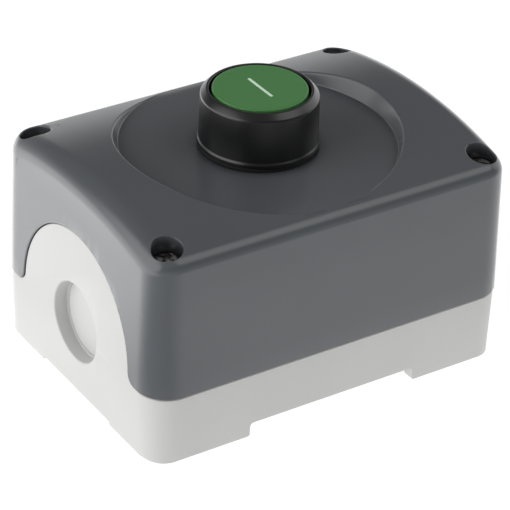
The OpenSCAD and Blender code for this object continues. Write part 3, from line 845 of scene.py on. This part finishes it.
def gasket_groove():
    """Groove for the cover's gasket, a little way down from the seam and over the tongues."""
    outer = BASE_RHO - GROOVE_IN
    groove = ring_wall("groove", outer, outer - GROOVE_W, PAST, BASE_HIGH.z + 9)
    return cut(groove, along_x("keep", plane_outline(-GROOVE_H), (-60, 60)))


def base_holes():
    """Everything cut out of the base once its posts are in."""
    tools = [gasket_groove()]
    for x, y in corners():
        tools.append(drum("insert_hole", INSERT_R, INSERT_Z, SEAM_Z + PAST, (x, y, 0), 48))
        tools.append(drum("tip_hole", TIP_HOLE_R, FLOOR_TOP, SEAM_Z, (x, y, 0), 32))
    for x, y in fixings():
        tools.append(drum("fix_hole", FIX_R, -2, FLOOR_TOP + 1, (x, y, 0), 48))
    for x in (-RIB_X, RIB_X):
        tools.append(drum("screw_hole", PILOT_R, 2, 9, (x, 0, 0), 32))
    tools += [entry_cutter(-1), entry_cutter(1)]
    side = under_notch(NOTCH_L, NOTCH_H, 1.0)
    end = under_notch(END_NOTCH_L, END_NOTCH_H, 0.5)
    for sign in (-1, 1):
        tools.append(along_y("side_notch", side, sorted((sign * 30.5, sign * 45))))
        tools.append(along_x("end_notch", end, sorted((sign * 43.5, sign * 60))))
    return tools


def build_base():
    body = base_walls()
    union(body, tongue(-1), tongue(1))
    inner = BASE_RHO - BASE_WALL
    hollow = loft("hollow", [case_loop(inner, FLOOR_TOP), case_loop(inner, BASE_HIGH.z + PAST)])
    under = loft("under", [case_loop(inner, -2), case_loop(inner, FLOOR_Z)])
    cut(body, hollow, under)
    union(body, *base_posts())
    cut(body, *base_holes())
    return finish_piece(body, "base_shell", "base", BASE, ["enclosure_base"])


# ---------------------------------------------------------------- button and ring

RING_BORE_R, RING_BODY_BORE_R = 12.15, 13.25
RING_FOOT_R, RING_SIDE_R, RING_TOP_R, RING_MOUTH_R = 14.75, 14.4, 14.22, 12.6
RING_STEP_Z, RING_SHOULDER_Z = 66.9, 68.6
CAP_WALL, CAP_TOP_H, CAP_EDGE_R = 1.3, 2.0, 0.45
SEAL_R, SEAL_BORE_R = 14.5, 11.3


def build_ring():
    """Tall front ring: rounded foot, slightly tapered side, rounded bevel at the mouth."""
    foot = RING_LOW.z
    top = RING_HIGH.z
    profile = rounded([
        (RING_BODY_BORE_R, foot, 0.1), (RING_FOOT_R, foot, 0.35), (RING_FOOT_R, foot + 0.95, 0.3),
        (RING_SIDE_R, foot + 1.45, 0.35), (RING_TOP_R, RING_SHOULDER_Z, 0.9), (RING_MOUTH_R, top, 0.5),
        (RING_BORE_R, top - 0.35, 0.2), (RING_BORE_R, RING_STEP_Z, 0),
        (RING_BODY_BORE_R, RING_STEP_Z, 0)], 6)
    ring = lathe("ring", profile, 160)
    return finish_piece(ring, "front_ring", "cover", BEZEL, ["bezel_ring"], 50)


def build_cap():
    """Green cap with a faintly dished face and a pocket for the bar."""
    r = CAP_HIGH.x
    low, top = CAP_LOW.z, CAP_HIGH.z
    inner, under = r - CAP_WALL, top - CAP_TOP_H
    dish = [(r * k / 8, top - 0.06 + 0.05 * (k / 8) ** 2) for k in range(7)]
    skirt = rounded([(inner, low, 0.15), (r, low, 0.2), (r, top, CAP_EDGE_R), (r - 1.2, top - 0.012, 0)], 6)
    profile = skirt + list(reversed(dish)) + [(0, under), (inner, under)]
    cap = lathe("cap", profile, 128)
    cut(cap, bar_solid("pocket", 0.02, BAR_LOW.z, top + 1))
    return finish_piece(cap, "green_cap", "button", GREEN, ["button_cap"], 50)


def bar_solid(name, grow, z0, z1, edge=0.0):
    """The start bar, with round-cornered ends."""
    half_w, half_l = BAR_HIGH.x + grow, BAR_HIGH.y + grow
    plan = rounded([(half_w, -half_l, 0.2), (half_w, half_l, 0.2), (-half_w, half_l, 0.2),
                    (-half_w, -half_l, 0.2)], 4)
    loops = [[(x, y, z0) for x, y in plan], [(x, y, z1 - edge) for x, y in plan]]
    if edge:
        fx, fy = 1 - edge / half_w, 1 - edge / half_l
        loops.append([(x * fx, y * fy, z1) for x, y in plan])
    return loft(name, loops)


def build_bar():
    bar = bar_solid("bar", -0.01, BAR_LOW.z, BAR_HIGH.z - 0.005, 0.06)
    return finish_piece(bar, "start_bar", "button", WHITE, ["start_symbol"], 30)


def build_seal():
    """Flat gasket squeezed out a little under the ring."""
    low, high = SEAL_LOW.z, SEAL_HIGH.z
    profile = rounded([(SEAL_BORE_R, low, 0.1), (SEAL_R, low, 0.15), (SEAL_R, high, 0.3),
                       (SEAL_BORE_R, high, 0.1)], 5)
    seal = lathe("seal", profile, 128)
    return finish_piece(seal, "ring_gasket", "cover", RUBBER, ["panel_gasket"], 50)


THREAD_R, THREAD_ROOT_R, THREAD_PITCH = 1.93, 1.6, 0.7
NECK_R, HEAD_R = 1.7, 3.35


def screw_profile():
    """Half section of a captive screw: tip, thread, reduced neck and domed head."""
    tip, head_z = SCREW_LOW.z, SCREW_HIGH.z
    points = [(0, tip, 0), (1.35, tip, 0), (THREAD_ROOT_R, tip + 0.6, 0)]
    z = tip + 0.8
    while z < SEAM_Z - 2.2:
        points += [(THREAD_R, z, 0), (THREAD_ROOT_R, z + THREAD_PITCH / 2, 0)]
        z += THREAD_PITCH
    points += [(THREAD_R, z, 0), (NECK_R, SEAM_Z - 1, 0), (NECK_R, SEAT_Z, 0.1), (HEAD_R, SEAT_Z, 0.15),
               (HEAD_R, head_z - 0.9, 0.5), (2.2, head_z - 0.15, 0.6), (0, head_z, 0)]
    return rounded(points, 4)


def build_screws():
    """Four captive screws, each with its cross recess turned another way."""
    profile = screw_profile()
    whole = None
    for i, (x, y) in enumerate(corners()):
        screw = lathe("screw", profile, 48, (x, y, 0))
        turn = Matrix.Translation((x, y, 0)) @ Matrix.Rotation(0.5 + 0.9 * i, 4, "Z")
        cross = cross_bit(SCREW_HIGH.z, 4.2, 0.9, 1.5)
        cross.data.transform(turn)
        cut(screw, cross)
        whole = screw if whole is None else joined(whole, screw)
    return finish_piece(whole, "captive_screws", "cover", STEEL, ["cover_screws"], 30)


def cross_bit(z, length, width, depth):
    """Cross-shaped driver bit that narrows towards its tip."""
    signs = ((-1, -1), (1, -1), (1, 1), (-1, 1))

    def wing(a, b):
        low = [(sx * a * 0.45, sy * b * 0.7, z - depth) for sx, sy in signs]
        high = [(sx * a * 0.55, sy * b * 0.6, z + 0.3) for sx, sy in signs]
        return loft("wing", [low, high])
    return union(wing(length, width), wing(width, length))


def joined(a, b):
    """Puts the mesh of b into a, as separate solids of one piece."""
    offset = len(a.data.vertices)
    verts = [v.co[:] for v in a.data.vertices] + [v.co[:] for v in b.data.vertices]
    faces = [p.vertices[:] for p in a.data.polygons]
    faces += [tuple(v + offset for v in p.vertices) for p in b.data.polygons]
    both = make(a.name, verts, faces)
    drop(a)
    drop(b)
    return both


def build_spring(node, name, wire, turns):
    """Coil spring with closed ends, as tall as the CAD spring it stands for."""
    low, high = box_mm(node)
    r = high.x - wire
    closed = 2.15 * wire
    rise = high.z - low.z - 2 * wire - 2 * closed
    steps, sides = 32, 10
    section = [2 * math.pi * k / sides for k in range(sides)]
    loops = []
    for i in range(round(turns * steps) + 1):
        t = i / steps
        open_share = min(1.0, max(0.0, (t - 1) / (turns - 2)))
        z = low.z + wire + closed * min(t, 1) + closed * max(0.0, t - turns + 1) + rise * open_share
        a = 2 * math.pi * t
        reach = [r + wire * math.cos(b) for b in section]
        loops.append([(d * math.cos(a), d * math.sin(a), z + wire * math.sin(b))
                      for d, b in zip(reach, section)])
    spring = finish_piece(loft(name, loops), name, None, WIRE, [node], 60)
    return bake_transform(spring)


# ---------------------------------------------------------------- inner pieces

CAD_LOOKS = {
    "threaded_inserts": BRASS, "cover_gasket": RUBBER, "contact_carrier": BLACK,
    "carrier_screws": STEEL, "contact_housing": BLOCK, "contact_base_plate": BLOCK,
    "fixed_contact_left": COPPER, "fixed_contact_right": COPPER, "fixed_contact_tips": SILVER,
    "terminal_screws": STEEL, "terminal_clamps": STEEL,
    "contact_plunger": PLUNGER, "contact_bridge": COPPER,
    "bridge_tips": SILVER, "screw_retaining_rings": WAXY, "actuator_body": BLACK,
    "lock_nut": BLACK, "stem_seal": RUBBER,
    "button_plunger": BLACK, "stem_clip": WIRE,
}


def dress_cad():
    """Gives the inner CAD pieces their materials."""
    for node, material in CAD_LOOKS.items():
        mesh = frame["nodes"][node].data
        mesh.materials.clear()
        mesh.materials.append(material)


# ---------------------------------------------------------------- studio

# The floor's brightness to the camera, as a light, and in reflections at either side
FLOOR_TO_CAMERA, FLOOR_GLOW = 0.85, 1.0
FLOOR_SEEN_LEFT, FLOOR_SEEN_RIGHT = 2.6, 1.15
# The part of the floor in front of the case that reflects darkly
SHADE_SPOT, SHADE_RIM, SHADE_CORE = (-0.1, -0.07, 0), 0.12, 0.03
# The surround: its base level, and for each light its direction, soft edge and level
SKY_LOW, SKY_HIGH = 0.08, 0.4
PANEL_WAY, PANEL_EDGE, PANEL_LEVEL = (-0.95, 0.15, 0.28), (0.75, 0.9), 2.9
BACK_WAY, BACK_EDGE, BACK_TOP, BACK_LEVEL = (0.1, 1, 0), (0.1, 0.6), (0.35, 0.08), 1.3
TOP_WAY, TOP_EDGE, TOP_LEVEL = (0.45, -0.5, 0.74), (0.92, 0.965), 1.9
RIGHT_WAY, RIGHT_EDGE, RIGHT_LEVEL = (0.96, 0.03, 0.27), (0.85, 0.95), 1.5
# The camera's angles in degrees, and its distance and aim in metres
AZIMUTH, ELEVATION, ROLL = -33.88, 31.78, 2.29
DISTANCE, AIM = 0.6356, Vector((0, 0, 0.02325))


def floor_seen(n):
    """How bright the floor looks in a reflection: brighter to the left, dark near the case's front."""
    split = n.add("ShaderNodeSeparateXYZ")
    n.link(n.place, split.inputs[0])
    seen = n.range(split.outputs["X"], 0.02, -0.1, FLOOR_SEEN_RIGHT, FLOOR_SEEN_LEFT, True)
    near = n.add("ShaderNodeVectorMath", operation="DISTANCE")
    n.link(n.place, near.inputs[0])
    near.inputs[1].default_value = SHADE_SPOT
    spared = n.range(near.outputs["Value"], SHADE_CORE, SHADE_RIM, 0.1, 1.0, True)
    behind = n.range(split.outputs["Y"], -0.14, -0.1, 0.15, 1.0, True)
    return n.math("MULTIPLY", seen, n.math("MULTIPLY", spared, behind))


def floor():
    """Pale floor: near white to the camera, and brighter towards the lit side in reflections."""
    size = 6.0
    plan = [(-size, -size, 0), (size, -size, 0), (size, size, 0), (-size, size, 0)]
    ob = make("floor", plan, [(0, 1, 2, 3)])
    n = Nodes("floor_paper")
    path = n.add("ShaderNodeLightPath").outputs
    level = n.blend_values(path["Is Glossy Ray"], FLOOR_GLOW, floor_seen(n))
    level = n.blend_values(path["Is Camera Ray"], level, FLOOR_TO_CAMERA)
    n.link(level, n.shader.inputs["Emission Strength"])
    n.shader.inputs["Base Color"].default_value = (0.3, 0.3, 0.3, 1)
    n.shader.inputs["Emission Color"].default_value = (1, 1, 1, 1)
    n.shader.inputs["Roughness"].default_value = 1.0
    n.shader.inputs["Specular IOR Level"].default_value = 0.0
    ob.data.materials.append(n.material)


def world():
    """Studio surround: a bright panel on the left, a pale low backdrop, two small lights, else dim."""
    n = Nodes("studio", world=True)
    bpy.context.scene.world = n.material
    ray = n.add("ShaderNodeTexCoord").outputs["Generated"]
    split = n.add("ShaderNodeSeparateXYZ")
    n.link(ray, split.inputs[0])
    height = split.outputs["Z"]
    overhead = n.range(height, 0.25, 0.8, SKY_LOW, SKY_HIGH)
    panel = n.math("MULTIPLY", n.facing(ray, PANEL_WAY, *PANEL_EDGE), PANEL_LEVEL)
    back = n.math("MULTIPLY", n.facing(ray, BACK_WAY, *BACK_EDGE), n.range(height, *BACK_TOP))
    back = n.math("MULTIPLY", back, BACK_LEVEL)
    top = n.math("MULTIPLY", n.facing(ray, TOP_WAY, *TOP_EDGE), TOP_LEVEL)
    right = n.math("MULTIPLY", n.facing(ray, RIGHT_WAY, *RIGHT_EDGE), RIGHT_LEVEL)
    lit = n.math("ADD", n.math("MAXIMUM", panel, back), n.math("MAXIMUM", top, right))
    n.link(n.math("ADD", overhead, lit), n.shader.inputs["Strength"])


def camera():
    """Camera at the viewing angle of a product shot, with its slight roll."""
    azimuth, elevation, roll = (math.radians(a) for a in (AZIMUTH, ELEVATION, ROLL))
    back = Vector((math.sin(azimuth) * math.cos(elevation), -math.cos(azimuth) * math.cos(elevation),
                   math.sin(elevation)))
    right = Vector((math.cos(azimuth), math.sin(azimuth), 0))
    up = back.cross(right)
    right, up = (right * math.cos(roll) + up * math.sin(roll),
                 up * math.cos(roll) - right * math.sin(roll))
    data = bpy.data.cameras.new("camera")
    data.sensor_width = 36
    data.lens = 182.8
    data.shift_x, data.shift_y = 0.003, 0.0029
    data.clip_start, data.clip_end = 0.05, 20
    ob = bpy.data.objects.new("camera", data)
    bpy.context.scene.collection.objects.link(ob)
    turn = Matrix((right, up, back)).transposed().to_4x4()
    ob.matrix_world = Matrix.Translation(AIM + back * DISTANCE) @ turn
    bpy.context.scene.camera = ob


build_cover()
build_base()
build_ring()
build_cap()
build_bar()
build_seal()
build_screws()
build_spring("button_return_spring", "button_spring", 0.4, 4.5)
build_spring("plunger_return_spring", "plunger_spring", 0.25, 5.5)
build_spring("contact_spring", "bridge_spring", 0.22, 6.5)
dress_cad()
floor()
world()
camera()
bpy.context.scene.view_settings.view_transform = "Standard"
